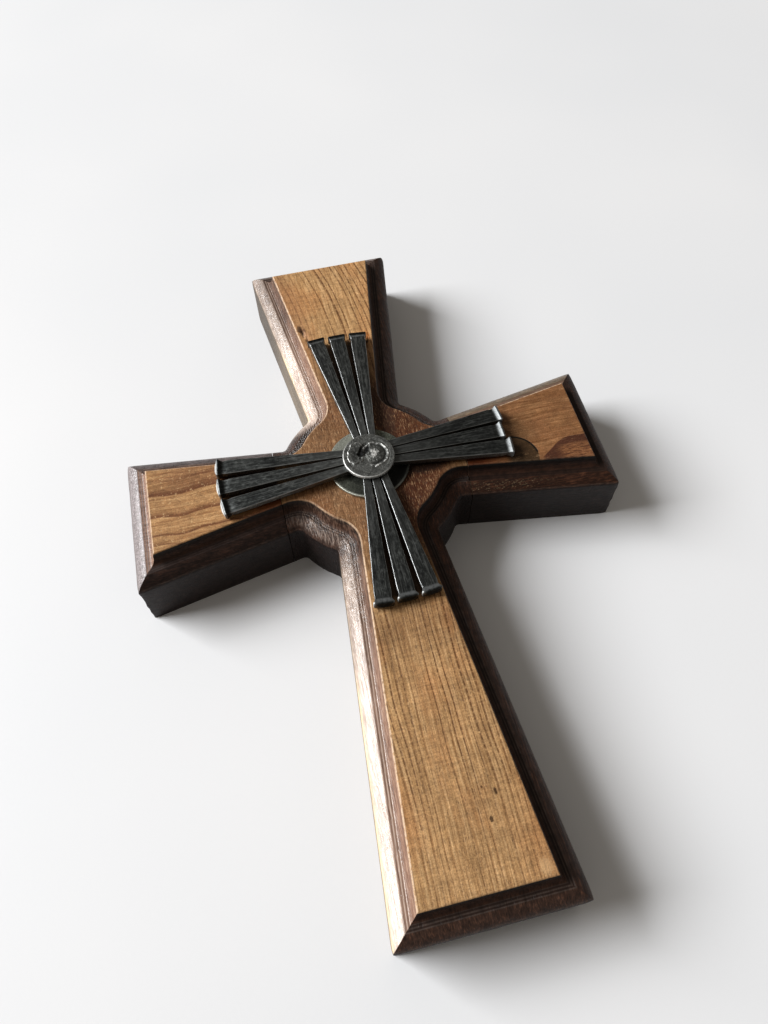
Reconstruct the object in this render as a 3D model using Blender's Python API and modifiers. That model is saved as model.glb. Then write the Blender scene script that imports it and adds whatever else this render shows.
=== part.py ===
"""Wall cross of three routed boards, with four fans of cut nails round a disc.

The cross lies on its back: +Z comes out of its face, +Y runs along the top arm
and the origin is on the back, under the crossing of the arms. Lengths in metres.
"""

import math

import bmesh
import bpy
from mathutils import Matrix, Vector

# Boards: one upright, and two arms butted to its long edges
BOARD_THICKNESS = 0.0381
UPRIGHT_WIDTH = 0.0889  # from seam to seam; the round hub has the same diameter
SEAM_GAP = 0.0003

# Reach of each arm from the crossing, its full width at the end, and how far
# the middle of that end sits off the arm's own centre line (the arms are sawn
# by hand). Positive is anticlockwise round the cross.
TOP_REACH = 0.1443
TOP_END_WIDTH = 0.0774
TOP_END_LEAN = -0.0018
BOTTOM_REACH = 0.1995
BOTTOM_END_WIDTH = 0.0761
BOTTOM_END_LEAN = 0.0
SIDE_REACH = 0.1150
SIDE_END_WIDTH = 0.0706
LEFT_END_LEAN = 0.0024
RIGHT_END_LEAN = 0.0008

# Full width of each arm where it leaves the hub, measured as far out as the seam is
UPRIGHT_NECK_WIDTH = 0.0489
SIDE_NECK_WIDTH = 0.0474
INNER_CORNER_RADIUS = 0.0030  # saw radius where an arm's side meets the hub

# Routed edge, from the square wall inwards and up to the raised field
ROUND_WIDTH = 0.0064
ROUND_RISE = 0.0050
QUIRK_WIDTH = 0.0005
QUIRK_DEPTH = 0.0004
COVE_WIDTH = 0.0033
COVE_RISE = 0.0046
LIP_WIDTH = 0.0004
LIP_RISE = 0.0015

# Steps in the facets of the curves
ROUND_STEPS = 6
COVE_STEPS = 5
CORNER_STEPS = 6
HUB_STEPS = 6
DISC_STEPS = 48
BOSS_STEPS = 16
BOSS_ROWS = 12
WELD = 0.00001  # joins the ends of a turned profile on its axis

# Cut nails: flat tapered shanks with a flared head, tips trimmed at the hub
NAIL_FULL_LENGTH = 0.0762
NAIL_TIP_WIDTH = 0.0026  # of the whole nail, before it is trimmed
SHANK_WIDTH = 0.0082
SHANK_THICKNESS = 0.0033
SHANK_CHAMFER = 0.0004
HEAD_WIDTH = 0.0093
HEAD_THICKNESS = 0.0050
HEAD_LENGTH = 0.0030
HEAD_FLARE_LENGTH = 0.0022
HEAD_ROUNDING = 0.0005
NAIL_GAP = 0.0004
TIP_DISTANCE = 0.0080  # of the trimmed tips from the crossing
NAIL_CLEARANCE = 0.0003

# How far the three heads of a fan reach, anticlockwise one first, and how far apart they sit
TOP_HEADS = (0.0785, 0.0786, 0.0779)
RIGHT_HEADS = (0.0676, 0.0663, 0.0679)
BOTTOM_HEADS = (0.0741, 0.0747, 0.0751)
LEFT_HEADS = (0.0715, 0.0723, 0.0717)
TOP_HEAD_SPACING = 0.0110
RIGHT_HEAD_SPACING = 0.0098
BOTTOM_HEAD_SPACING = 0.0108
LEFT_HEAD_SPACING = 0.0112

# Discs under and over the tips of the nails
DISC_CENTRE_X = -0.0006
DISC_CENTRE_Y = -0.0012
BACKING_DIAMETER = 0.0382
BACKING_THICKNESS = 0.0015
BACKING_EDGE = 0.0003
MEDALLION_DIAMETER = 0.0243
MEDALLION_THICKNESS = 0.0020
MEDALLION_EDGE = 0.0004
RIM_WIDTH = 0.0027
DISH_DEPTH = 0.0005
DISH_SLOPE = 0.0006
BOSS_DIAMETER = 0.0078
BOSS_RISE = 0.0007
BOSS_OFFSET = 0.0030  # of the hammered lump from the medallion's middle

# Heights that follow from the sizes above
MOULDING_RISE = ROUND_RISE + COVE_RISE + LIP_RISE
WALL_HEIGHT = BOARD_THICKNESS - MOULDING_RISE
BACKING_BASE = BOARD_THICKNESS + NAIL_CLEARANCE
SHANK_BASE_AT_HUB = BACKING_BASE + BACKING_THICKNESS + NAIL_CLEARANCE
SHANK_BASE_AT_HEAD = BOARD_THICKNESS + NAIL_CLEARANCE + (HEAD_THICKNESS - SHANK_THICKNESS) / 2


def clear_scene():
    """Removes every object that the scene starts with."""
    for obj in list(bpy.data.objects):
        bpy.data.objects.remove(obj, do_unlink=True)


def new_collection(name):
    """A collection directly under the scene's own."""
    collection = bpy.data.collections.new(name)
    bpy.context.scene.collection.children.link(collection)
    return collection


def finish(name, colour, roughness, metallic):
    """A plain Principled material."""
    material = bpy.data.materials.new(name)
    material.use_nodes = True
    shader = material.node_tree.nodes["Principled BSDF"]
    shader.inputs["Base Color"].default_value = (*colour, 1.0)
    shader.inputs["Roughness"].default_value = roughness
    shader.inputs["Metallic"].default_value = metallic
    return material


def add_object(name, bm, collection, material=None):
    """Puts a bmesh into a new object in the collection."""
    bmesh.ops.recalc_face_normals(bm, faces=bm.faces)
    mesh = bpy.data.meshes.new(name)
    bm.to_mesh(mesh)
    bm.free()
    obj = bpy.data.objects.new(name, mesh)
    if material:
        mesh.materials.append(material)
    collection.objects.link(obj)
    return obj


def loft(rings):
    """Closed bmesh through rings of as many points each, with a flat cap on both ends."""
    bm = bmesh.new()
    made = [[bm.verts.new(point) for point in ring] for ring in rings]
    for low, high in zip(made, made[1:]):
        for i, corner in enumerate(low):
            j = (i + 1) % len(low)
            bm.faces.new((corner, low[j], high[j], high[i]))
    bm.faces.new(reversed(made[0]))
    bm.faces.new(made[-1])
    return bm


def arc(centre, radius, start, end, steps):
    """Points on an arc from one angle to another, both ends included."""
    points = []
    for i in range(steps + 1):
        angle = start + (end - start) * i / steps
        points.append(centre + radius * Vector((math.cos(angle), math.sin(angle))))
    return points


class ArmSide:
    """One sawn side of an arm, as a line in the plane of the cross.

    The line runs from its neck at the hub out to the arm's end. turn is +1 for
    the side that is anticlockwise from the arm's direction, and -1 for the other.
    """

    def __init__(self, direction, reach, end_width, neck_width, lean, turn):
        along = Vector((math.cos(direction), math.sin(direction)))
        across = Vector((-along.y, along.x))
        end = along * reach + across * (turn * end_width / 2 + lean)
        neck = along * UPRIGHT_WIDTH / 2 + across * turn * neck_width / 2
        self.along = along
        self.reach = reach
        self.line = (end - neck).normalized()
        outward = Vector((-self.line.y, self.line.x)) * turn
        self.outward = outward
        self.offset = neck.dot(outward)
        # The inner corner's arc touches this line and the hub from outside both.
        centre_out = self.offset + INNER_CORNER_RADIUS
        centre_far = UPRIGHT_WIDTH / 2 + INNER_CORNER_RADIUS
        centre_along = math.sqrt(centre_far**2 - centre_out**2)
        self.corner_centre = self.line * centre_along + outward * centre_out

    def end_point(self, inset):
        """Where the line meets the arm's end, both moved inwards by the inset."""
        out = self.outward * (self.offset - inset)
        t = (self.reach - inset - out.dot(self.along)) / self.line.dot(self.along)
        return out + self.line * t

    def corner_angles(self):
        """Angles, seen from the arc's centre, of the touch on the line and of that on the hub."""
        to_line = math.atan2(-self.outward.y, -self.outward.x)
        to_hub = math.atan2(-self.corner_centre.y, -self.corner_centre.x)
        turn = math.remainder(to_hub - to_line, math.tau)
        return to_line, to_line + turn


def arm_sides():
    """The eight sides in anticlockwise order, from the right arm's upper side on."""
    quarter = math.pi / 2
    arms = (
        (0 * quarter, SIDE_REACH, SIDE_END_WIDTH, SIDE_NECK_WIDTH, RIGHT_END_LEAN),
        (1 * quarter, TOP_REACH, TOP_END_WIDTH, UPRIGHT_NECK_WIDTH, TOP_END_LEAN),
        (2 * quarter, SIDE_REACH, SIDE_END_WIDTH, SIDE_NECK_WIDTH, LEFT_END_LEAN),
        (3 * quarter, BOTTOM_REACH, BOTTOM_END_WIDTH, UPRIGHT_NECK_WIDTH, BOTTOM_END_LEAN),
    )
    sides = [ArmSide(*arm, turn) for arm in arms for turn in (-1, 1)]
    return sides[1:] + sides[:1]


def outline(sides, inset):
    """The cross's outline moved inwards by the inset, anticlockwise, always of as many points."""
    points = []
    for leaving, arriving in zip(sides[0::2], sides[1::2]):
        radius = INNER_CORNER_RADIUS + inset
        out_start, out_end = leaving.corner_angles()
        in_start, in_end = arriving.corner_angles()
        hub_start = math.atan2(leaving.corner_centre.y, leaving.corner_centre.x)
        hub_end = math.atan2(arriving.corner_centre.y, arriving.corner_centre.x)
        hub_end = hub_start + math.remainder(hub_end - hub_start, math.tau)
        hub = arc(Vector((0, 0)), UPRIGHT_WIDTH / 2 - inset, hub_start, hub_end, HUB_STEPS)
        points.append(leaving.end_point(inset))
        points += arc(leaving.corner_centre, radius, out_start, out_end, CORNER_STEPS)
        points += hub[1:-1]
        points += arc(arriving.corner_centre, radius, in_end, in_start, CORNER_STEPS)
        points.append(arriving.end_point(inset))
    return points


def moulding():
    """The routed edge as (inset, height) pairs, from the foot of the wall to the field."""
    steps = [(0.0, 0.0), (0.0, WALL_HEIGHT)]
    for i in range(1, ROUND_STEPS + 1):
        angle = math.pi / 2 * i / ROUND_STEPS
        rise = ROUND_RISE * math.sin(angle)
        steps.append((ROUND_WIDTH * (1 - math.cos(angle)), WALL_HEIGHT + rise))
    shoulder = WALL_HEIGHT + ROUND_RISE
    steps.append((ROUND_WIDTH + QUIRK_WIDTH / 2, shoulder - QUIRK_DEPTH))
    cove_start = ROUND_WIDTH + QUIRK_WIDTH
    for i in range(COVE_STEPS + 1):
        angle = math.pi / 2 * i / COVE_STEPS
        inset = cove_start + COVE_WIDTH * math.sin(angle)
        steps.append((inset, shoulder + COVE_RISE * (1 - math.cos(angle))))
    steps.append((cove_start + COVE_WIDTH + LIP_WIDTH, BOARD_THICKNESS))
    return steps


def cut_box(name, collection, low, high):
    """A box between two corners, kept as a cutter."""
    bm = bmesh.new()
    bmesh.ops.create_cube(bm, size=1.0)
    size = high - low
    bmesh.ops.scale(bm, vec=size, verts=bm.verts)
    box = add_object(name, bm, collection)
    box.location = (low + high) / 2
    box.hide_render = True
    box.display_type = "WIRE"
    return box


def make_boards(collection, cutters, material):
    """The routed cross, cut at the seams into the upright and the two arms."""
    sides = arm_sides()
    rings = [[(*point, height) for point in outline(sides, inset)] for inset, height in moulding()]
    seam = UPRIGHT_WIDTH / 2
    far = 2 * (SIDE_REACH + TOP_REACH + BOTTOM_REACH)
    inside = seam - SEAM_GAP / 2
    outside = seam + SEAM_GAP / 2
    limits = {
        "upright_board": (-inside, inside, far),
        "left_arm": (-far, -outside, SIDE_END_WIDTH),
        "right_arm": (outside, far, SIDE_END_WIDTH),
    }
    for name, (left, right, half_width) in limits.items():
        board = add_object(name, loft(rings), collection, material)
        low = Vector((left, -half_width, -far))
        high = Vector((right, half_width, far))
        cut = board.modifiers.new("seams", "BOOLEAN")
        cut.operation = "INTERSECT"
        cut.object = cut_box(name + "_limits", cutters, low, high)


def section(x, width, thickness, chamfer, middle):
    """A chamfered rectangle across the nail at x, its middle at that height."""
    w = width / 2
    t = thickness / 2
    corners = (
        (w, t - chamfer),
        (w - chamfer, t),
        (chamfer - w, t),
        (-w, t - chamfer),
        (-w, chamfer - t),
        (chamfer - w, -t),
        (w - chamfer, -t),
        (w, chamfer - t),
    )
    return [(x, y, middle + z) for y, z in corners]


def shank_width(from_head):
    """Width of the tapered shank at a distance from the nail's head."""
    return SHANK_WIDTH - (SHANK_WIDTH - NAIL_TIP_WIDTH) * from_head / NAIL_FULL_LENGTH


def nail_mesh(length):
    """A nail along +X with its trimmed tip at the origin and its shank's underside at z = 0."""
    middle = SHANK_THICKNESS / 2
    head = length - HEAD_LENGTH
    flare = head - HEAD_FLARE_LENGTH
    rings = [
        section(0.0, shank_width(length), SHANK_THICKNESS, SHANK_CHAMFER, middle),
        section(flare, shank_width(length - flare), SHANK_THICKNESS, SHANK_CHAMFER, middle),
        section(head, HEAD_WIDTH, HEAD_THICKNESS, SHANK_CHAMFER, middle),
        section(length - HEAD_ROUNDING, HEAD_WIDTH, HEAD_THICKNESS, SHANK_CHAMFER, middle),
        section(
            length,
            HEAD_WIDTH - 2 * HEAD_ROUNDING,
            HEAD_THICKNESS - 2 * HEAD_ROUNDING,
            SHANK_CHAMFER,
            middle,
        ),
    ]
    return loft(rings)


def make_fan(name, turns, heads, spacing, collection, material):
    """Three nails side by side at the hub that spread towards their heads."""
    direction = Matrix.Rotation(turns * math.tau, 4, "Z")
    for i, reach in enumerate(heads):
        place = 1 - i
        tip_width = shank_width(reach - TIP_DISTANCE)
        tip = Vector((TIP_DISTANCE, place * (tip_width + NAIL_GAP), SHANK_BASE_AT_HUB))
        head = Vector((reach, place * spacing, SHANK_BASE_AT_HEAD))
        run = head - tip
        nail = add_object(f"nail_{name}_{i + 1}", nail_mesh(run.length), collection, material)
        aim = run.to_track_quat("X", "Z").to_matrix().to_4x4()
        nail.matrix_world = direction @ Matrix.Translation(tip) @ aim


def turned(name, profile, collection, material):
    """A round piece from a half profile of (radius, height), top to bottom, with a Screw."""
    bm = bmesh.new()
    points = [bm.verts.new((radius, 0.0, height)) for radius, height in profile]
    for upper, lower in zip(points, points[1:]):
        bm.edges.new((upper, lower))
    mesh = bpy.data.meshes.new(name)
    bm.to_mesh(mesh)
    bm.free()
    mesh.materials.append(material)
    obj = bpy.data.objects.new(name, mesh)
    collection.objects.link(obj)
    screw = obj.modifiers.new("turn", "SCREW")
    screw.steps = DISC_STEPS
    screw.render_steps = DISC_STEPS
    screw.use_merge_vertices = True
    screw.merge_threshold = WELD
    screw.use_smooth_shade = True
    return obj


def make_discs(collection, cutters, materials):
    """The backing disc on the field, and the medallion over the nails' tips."""
    centre = (DISC_CENTRE_X, DISC_CENTRE_Y)
    radius = BACKING_DIAMETER / 2
    top = BACKING_THICKNESS
    profile = [
        (0.0, top),
        (radius - BACKING_EDGE, top),
        (radius, top - BACKING_EDGE),
        (radius, 0.0),
        (0.0, 0.0),
    ]
    backing = turned("backing_disc", profile, collection, materials["black_metal"])
    backing.location = (*centre, BACKING_BASE)

    radius = MEDALLION_DIAMETER / 2
    top = MEDALLION_THICKNESS
    dish = radius - RIM_WIDTH
    profile = [
        (0.0, top - DISH_DEPTH),
        (dish - DISH_SLOPE, top - DISH_DEPTH),
        (dish, top),
        (radius - MEDALLION_EDGE, top),
        (radius, top - MEDALLION_EDGE),
        (radius, MEDALLION_EDGE),
        (radius - MEDALLION_EDGE, 0.0),
        (0.0, 0.0),
    ]
    medallion = turned("medallion", profile, collection, materials["worn_metal"])
    base = SHANK_BASE_AT_HUB + SHANK_THICKNESS + NAIL_CLEARANCE
    medallion.location = (*centre, base)

    boss = bmesh.new()
    radius = BOSS_DIAMETER / 2
    bmesh.ops.create_uvsphere(boss, u_segments=BOSS_STEPS, v_segments=BOSS_ROWS, radius=radius)
    flat = BOSS_RISE / radius
    bmesh.ops.scale(boss, vec=(1.0, 1.0, flat), verts=boss.verts)
    lump = add_object("boss", boss, cutters)
    lump.location = (centre[0] + BOSS_OFFSET, centre[1], base + top - DISH_DEPTH)
    lump.hide_render = True
    lump.display_type = "WIRE"
    join = medallion.modifiers.new("boss", "BOOLEAN")
    join.operation = "UNION"
    join.object = lump


def main():
    clear_scene()
    cross = new_collection("cross_with_nails")
    cutters = new_collection("cutters")
    cutters.hide_render = True
    materials = {
        "stained_wood": finish("stained_wood", (0.30, 0.14, 0.06), 0.38, 0.0),
        "black_metal": finish("black_metal", (0.035, 0.04, 0.045), 0.36, 1.0),
        "worn_metal": finish("worn_metal", (0.12, 0.12, 0.12), 0.32, 1.0),
    }
    make_boards(cross, cutters, materials["stained_wood"])
    fans = (
        ("right", 0.00, RIGHT_HEADS, RIGHT_HEAD_SPACING),
        ("top", 0.25, TOP_HEADS, TOP_HEAD_SPACING),
        ("left", 0.50, LEFT_HEADS, LEFT_HEAD_SPACING),
        ("bottom", 0.75, BOTTOM_HEADS, BOTTOM_HEAD_SPACING),
    )
    for name, turns, heads, spacing in fans:
        make_fan(name, turns, heads, spacing, cross, materials["black_metal"])
    make_discs(cross, cutters, materials)


main()
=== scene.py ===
"""Looks of a wall cross: three routed, stained boards and four fans of cut nails round a disc.

Lengths are in metres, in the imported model's own frame: the cross lies on its back,
+Z comes out of its face and +Y runs along the top arm.
"""

import math

import bpy
import numpy as np
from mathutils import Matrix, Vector


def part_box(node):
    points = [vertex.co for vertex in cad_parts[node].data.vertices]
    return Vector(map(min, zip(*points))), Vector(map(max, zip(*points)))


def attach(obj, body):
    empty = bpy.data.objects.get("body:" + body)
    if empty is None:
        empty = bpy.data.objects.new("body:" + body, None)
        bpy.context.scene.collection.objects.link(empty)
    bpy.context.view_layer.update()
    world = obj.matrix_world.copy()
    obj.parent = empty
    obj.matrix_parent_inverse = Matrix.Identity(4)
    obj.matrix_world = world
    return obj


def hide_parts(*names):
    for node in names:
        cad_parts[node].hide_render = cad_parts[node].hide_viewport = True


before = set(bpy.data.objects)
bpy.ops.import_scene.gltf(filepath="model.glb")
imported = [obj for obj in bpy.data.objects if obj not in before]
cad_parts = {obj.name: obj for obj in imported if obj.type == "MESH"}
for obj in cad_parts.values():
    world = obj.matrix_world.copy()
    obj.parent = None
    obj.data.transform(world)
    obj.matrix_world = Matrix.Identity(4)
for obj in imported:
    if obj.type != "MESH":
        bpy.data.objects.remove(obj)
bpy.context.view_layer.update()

MM = 0.001
QUARTER = math.pi / 2
UP = np.array([0.0, 0.0, 1.0])

# Camera, where the photograph was taken from
CAMERA_PLACE = (-36.79 * MM, -200.34 * MM, 341.32 * MM)
CAMERA_TURN = (30.116, 0.779, -13.448)
CAMERA_LENS = 27.086

# Light: a far window on the left and a little behind, and the dim light of a room
WINDOW_PLACE = (-5.97, 2.49, 4.38)
WINDOW_SIZE = (5.0, 3.6)
WINDOW_POWER = 1100.0
WINDOW_COLOUR = (0.98, 0.99, 1.0)
ROOM_COLOUR = (1.0, 0.92, 0.82, 1.0)
ROOM_STRENGTH = 0.20
FLOOR_HALF = 3.0

# Boards: what the frame measures
BOARD_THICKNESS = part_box("upright_board")[1].z
UPRIGHT_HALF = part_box("upright_board")[1].x
TOP_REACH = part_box("upright_board")[1].y
BOTTOM_REACH = -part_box("upright_board")[0].y
ARM_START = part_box("right_arm")[0].x
RIGHT_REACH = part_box("right_arm")[1].x
LEFT_REACH = -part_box("left_arm")[0].x
HUB_RADIUS = (UPRIGHT_HALF + ARM_START) / 2

# Boards: widths of the arms at their ends and necks, and the lean of each end
TOP_END_WIDTH = 77.4 * MM
TOP_END_LEAN = -1.8 * MM
BOTTOM_END_WIDTH = 76.1 * MM
SIDE_END_WIDTH = 70.6 * MM
LEFT_END_LEAN = 2.4 * MM
RIGHT_END_LEAN = 0.8 * MM
UPRIGHT_NECK_WIDTH = 48.9 * MM
SIDE_NECK_WIDTH = 47.4 * MM
INNER_CORNER_RADIUS = 3.0 * MM

# Routed edge
FOOT_BEVEL = 0.3 * MM
ROUND_WIDTH = 5.6 * MM
ROUND_RISE = 5.0 * MM
ROUND_SLANT = 0.45
QUIRK_WIDTH = 1.2 * MM
QUIRK_DEPTH = 0.18 * MM
QUIRK_COUNT = 2
COVE_WIDTH = 2.2 * MM
COVE_RISE = 4.6 * MM
LIP_WIDTH = 0.4 * MM
LIP_RISE = 1.5 * MM
ARRIS_RADIUS = 0.6 * MM
WALL_HEIGHT = BOARD_THICKNESS - ROUND_RISE - COVE_RISE - LIP_RISE
FIELD_INSET = ROUND_WIDTH + QUIRK_COUNT * QUIRK_WIDTH + COVE_WIDTH + LIP_WIDTH

# Wear of the boards
CORNER_WEAR = 0.8 * MM
CORNER_WEAR_REACH = 2.6 * MM
SAW_WAVES = 0.10 * MM
FIELD_WAVES = 0.06 * MM
# The inset that the field's points carry
FAR_INSIDE = 1.0

LATTICE = 64
WINDOW_DIRECTION = np.array([-0.92, 0.39])


# Helpers for meshes

def smooth_noise(points, size, seed):
    """Random values on a cubic lattice, blended by a smoothstep between its corners, from -1 to 1."""
    lattice = np.random.default_rng(seed).uniform(-1.0, 1.0, (LATTICE,) * 3)
    cell = points / size
    low = np.floor(cell).astype(int)
    part = cell - low
    part = part * part * (3 - 2 * part)
    total = np.zeros(points.shape[:-1])
    for corner in np.ndindex(2, 2, 2):
        weight = np.prod(np.where(corner, part, 1 - part), axis=-1)
        x, y, z = np.moveaxis((low + corner) % LATTICE, -1, 0)
        total += weight * lattice[x, y, z]
    return total


def skin(name, rings, attributes=None, sharp=38.0):
    """A closed mesh through rings of as many points each, with a pole over the first and the last ring."""
    count, around = rings.shape[:2]
    poles = np.stack([rings[0].mean(axis=0), rings[-1].mean(axis=0)])
    points = np.concatenate([rings.reshape(-1, 3), poles])
    here = np.arange(count * around).reshape(count, around)
    after = np.roll(here, -1, axis=1)
    sides = np.stack([here[:-1], after[:-1], after[1:], here[1:]], axis=-1).reshape(-1, 4)
    first = np.full(around, count * around)
    start = np.stack([after[0], here[0], first], axis=-1)
    end = np.stack([here[-1], after[-1], first + 1], axis=-1)
    mesh = bpy.data.meshes.new(name)
    mesh.from_pydata(points.tolist(), [], sides.tolist() + start.tolist() + end.tolist())
    for key, values in (attributes or {}).items():
        values = np.asarray(values, float)
        kind = "FLOAT_VECTOR" if values.ndim == 3 else "FLOAT"
        flat = values.reshape(count * around, -1)
        ends = np.stack([values[0].mean(axis=0), values[-1].mean(axis=0)]).reshape(2, -1)
        flat = np.concatenate([flat, ends])
        slot = "vector" if kind == "FLOAT_VECTOR" else "value"
        mesh.attributes.new(key, kind, "POINT").data.foreach_set(slot, flat.ravel())
    mesh.shade_smooth()
    mesh.set_sharp_from_angle(angle=math.radians(sharp))
    piece = bpy.data.objects.new(name, mesh)
    bpy.context.scene.collection.objects.link(piece)
    return piece


def dress(piece, node, material):
    """The piece takes the node's place and its slot's finish."""
    piece.data.materials.append(material)
    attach(piece, "root")
    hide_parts(node)


# Helpers for materials

def paint(colour):
    """A colour for a shader, from how it looks on a screen, 0 to 255; a socket's colour stays as it is."""
    if isinstance(colour, Number):
        return colour
    shares = np.array(colour) / 255
    linear = np.where(shares <= 0.04045, shares / 12.92, ((shares + 0.055) / 1.055) ** 2.4)
    return (*linear.tolist(), 1.0)


class Number:
    """What a socket gives; plain arithmetic with it makes the maths nodes."""

    def __init__(self, finish, socket):
        self.finish = finish
        self.socket = socket

    def __add__(self, other):
        return self.finish.math("ADD", self, other)

    def __sub__(self, other):
        return self.finish.math("SUBTRACT", self, other)

    def __rsub__(self, other):
        return self.finish.math("SUBTRACT", other, self)

    def __mul__(self, other):
        return self.finish.math("MULTIPLY", self, other)

    def __truediv__(self, other):
        return self.finish.math("DIVIDE", self, other)

    def __abs__(self):
        return self.finish.math("ABSOLUTE", self)

    def step(self, start, end, low=0.0, high=1.0):
        """From low to high as this goes from start to end, smooth at both."""
        settings = {"interpolation_type": "SMOOTHSTEP"}
        return self.finish.result("ShaderNodeMapRange", self, start, end, low, high, **settings)

    def near(self, middle, reach):
        """1 at the middle, falling smoothly to 0 at the reach on either side."""
        return abs(self - middle).step(0.0, reach, 1.0, 0.0)


class Finish:
    """A material whose nodes are written as calls that take and give numbers, vectors and colours.

    A colour is what such a call gives, or a tuple of how it looks on a screen, 0 to 255.
    """

    def __init__(self, name):
        self.material = bpy.data.materials.new(name)
        self.material.use_nodes = True
        self.tree = self.material.node_tree
        self.shader = self.tree.nodes["Principled BSDF"]

    def plug(self, value, socket):
        if isinstance(value, Number):
            self.tree.links.new(value.socket, socket)
        else:
            socket.default_value = value

    def surface(self, **values):
        for key, value in values.items():
            self.plug(value, self.shader.inputs[key.replace("_", " ")])

    def node(self, kind, *values, **settings):
        made = self.tree.nodes.new(kind)
        for key, value in settings.items():
            setattr(made, key, value)
        for value, socket in zip(values, made.inputs):
            self.plug(value, socket)
        return made

    def result(self, kind, *values, **settings):
        return Number(self, self.node(kind, *values, **settings).outputs[0])

    def place(self):
        """Where the point is on the object, in millimetres."""
        coordinates = Number(self, self.node("ShaderNodeTexCoord").outputs["Object"])
        return self.stretch(coordinates, 1000, 1000, 1000)

    def attribute(self, name, output="Fac"):
        return Number(self, self.node("ShaderNodeAttribute", attribute_name=name).outputs[output])

    def math(self, operation, *values):
        return self.result("ShaderNodeMath", *values, operation=operation)

    def distance(self, x, y):
        """The square root of the sum of both squares."""
        return self.math("SQRT", x * x + y * y)

    def split(self, vector):
        return [Number(self, socket) for socket in self.node("ShaderNodeSeparateXYZ", vector).outputs]

    def join(self, x, y, z):
        return self.result("ShaderNodeCombineXYZ", x, y, z)

    def stretch(self, vector, x, y, z):
        return self.result("ShaderNodeVectorMath", vector, (x, y, z), operation="MULTIPLY")

    def noise(self, vector, scale, detail=3.0, roughness=0.55):
        """Cloudy noise about 0.5; scale is its lumps for each unit of the vector, or one for each axis."""
        if isinstance(scale, tuple):
            vector, scale = self.stretch(vector, *scale), 1.0
        made = self.node("ShaderNodeTexNoise")
        values = {"Vector": vector, "Scale": scale, "Detail": detail, "Roughness": roughness}
        for key, value in values.items():
            self.plug(value, made.inputs[key])
        return Number(self, made.outputs[0])

    def cells(self, vector):
        """How far the point is from the middle of the nearest cell."""
        made = self.node("ShaderNodeTexVoronoi")
        self.plug(vector, made.inputs["Vector"])
        made.inputs["Scale"].default_value = 1.0
        return Number(self, made.outputs["Distance"])

    def chance(self, value):
        """A random number from 0 to 1 that stays the same for the same value."""
        made = self.node("ShaderNodeTexWhiteNoise", noise_dimensions="1D")
        self.plug(value, made.inputs["W"])
        return Number(self, made.outputs["Value"])

    def ramp(self, value, *stops):
        """A colour ramp through (place, colour) stops."""
        made = self.node("ShaderNodeValToRGB", value)
        elements = made.color_ramp.elements
        while len(elements) < len(stops):
            elements.new(0.5)
        for element, (place, colour) in zip(elements, stops):
            element.position = place
            element.color = paint(colour)
        return Number(self, made.outputs[0])

    def mix(self, share, first, second, blend="MIX"):
        """The first colour with its share of the second one."""
        made = self.node("ShaderNodeMix", share, data_type="RGBA", blend_type=blend)
        self.plug(paint(first), made.inputs[6])
        self.plug(paint(second), made.inputs[7])
        return Number(self, made.outputs[2])

    def shade(self, colour, number, share=1.0):
        """The colour times a number, by the share given."""
        return self.mix(share, colour, self.join(number, number, number), "MULTIPLY")

    def bump(self, height, distance, strength=1.0, before=None):
        made = self.node("ShaderNodeBump")
        made.inputs["Strength"].default_value = strength
        made.inputs["Distance"].default_value = distance
        self.plug(height, made.inputs["Height"])
        if before is not None:
            self.plug(before, made.inputs["Normal"])
        return Number(self, made.outputs[0])


# Camera, floor and light

def make_camera():
    data = bpy.data.cameras.new("camera")
    data.lens = CAMERA_LENS
    data.clip_start = 0.01
    data.clip_end = 50.0
    camera = bpy.data.objects.new("camera", data)
    camera.location = CAMERA_PLACE
    camera.rotation_euler = [math.radians(turn) for turn in CAMERA_TURN]
    bpy.context.scene.collection.objects.link(camera)
    bpy.context.scene.camera = camera


def make_floor():
    """A flat square well past the picture's edges, just under the boards' backs."""
    half = FLOOR_HALF
    corners = [(-half, -half, 0.0), (half, -half, 0.0), (half, half, 0.0), (-half, half, 0.0)]
    mesh = bpy.data.meshes.new("floor")
    mesh.from_pydata(corners, [], [(0, 1, 2, 3)])
    floor = bpy.data.objects.new("floor", mesh)
    bpy.context.scene.collection.objects.link(floor)
    finish = Finish("white_table")
    place = finish.place()
    cloud = finish.noise(place, 0.004, detail=2.0)
    colour = finish.ramp(cloud, (0.3, (226, 227, 229)), (0.7, (232, 232, 233)))
    grain = finish.noise(place, 0.6, detail=2.0)
    finish.surface(Base_Color=colour, Roughness=grain.step(0.3, 0.7, 0.5, 0.6))
    finish.surface(Normal=finish.bump(grain, 0.0001, 0.15))
    mesh.materials.append(finish.material)


def area_light(name, place, aim, size, power, colour):
    """A soft panel at a place, turned to face the aim."""
    data = bpy.data.lights.new(name, "AREA")
    data.shape = "RECTANGLE"
    data.size, data.size_y = size
    data.energy = power
    data.color = colour
    light = bpy.data.objects.new(name, data)
    light.location = place
    direction = Vector(aim) - Vector(place)
    light.rotation_euler = direction.to_track_quat("-Z", "Y").to_euler()
    bpy.context.scene.collection.objects.link(light)


def make_light():
    """The window's panel and the room's even light."""
    area_light("window", WINDOW_PLACE, (0.0, 0.0, 0.0), WINDOW_SIZE, WINDOW_POWER, WINDOW_COLOUR)
    world = bpy.data.worlds.new("room")
    world.use_nodes = True
    background = world.node_tree.nodes["Background"]
    background.inputs["Color"].default_value = ROOM_COLOUR
    background.inputs["Strength"].default_value = ROOM_STRENGTH
    bpy.context.scene.world = world
    bpy.context.scene.view_settings.view_transform = "Standard"


# Outline of the cross, moved inwards by any inset

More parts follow.
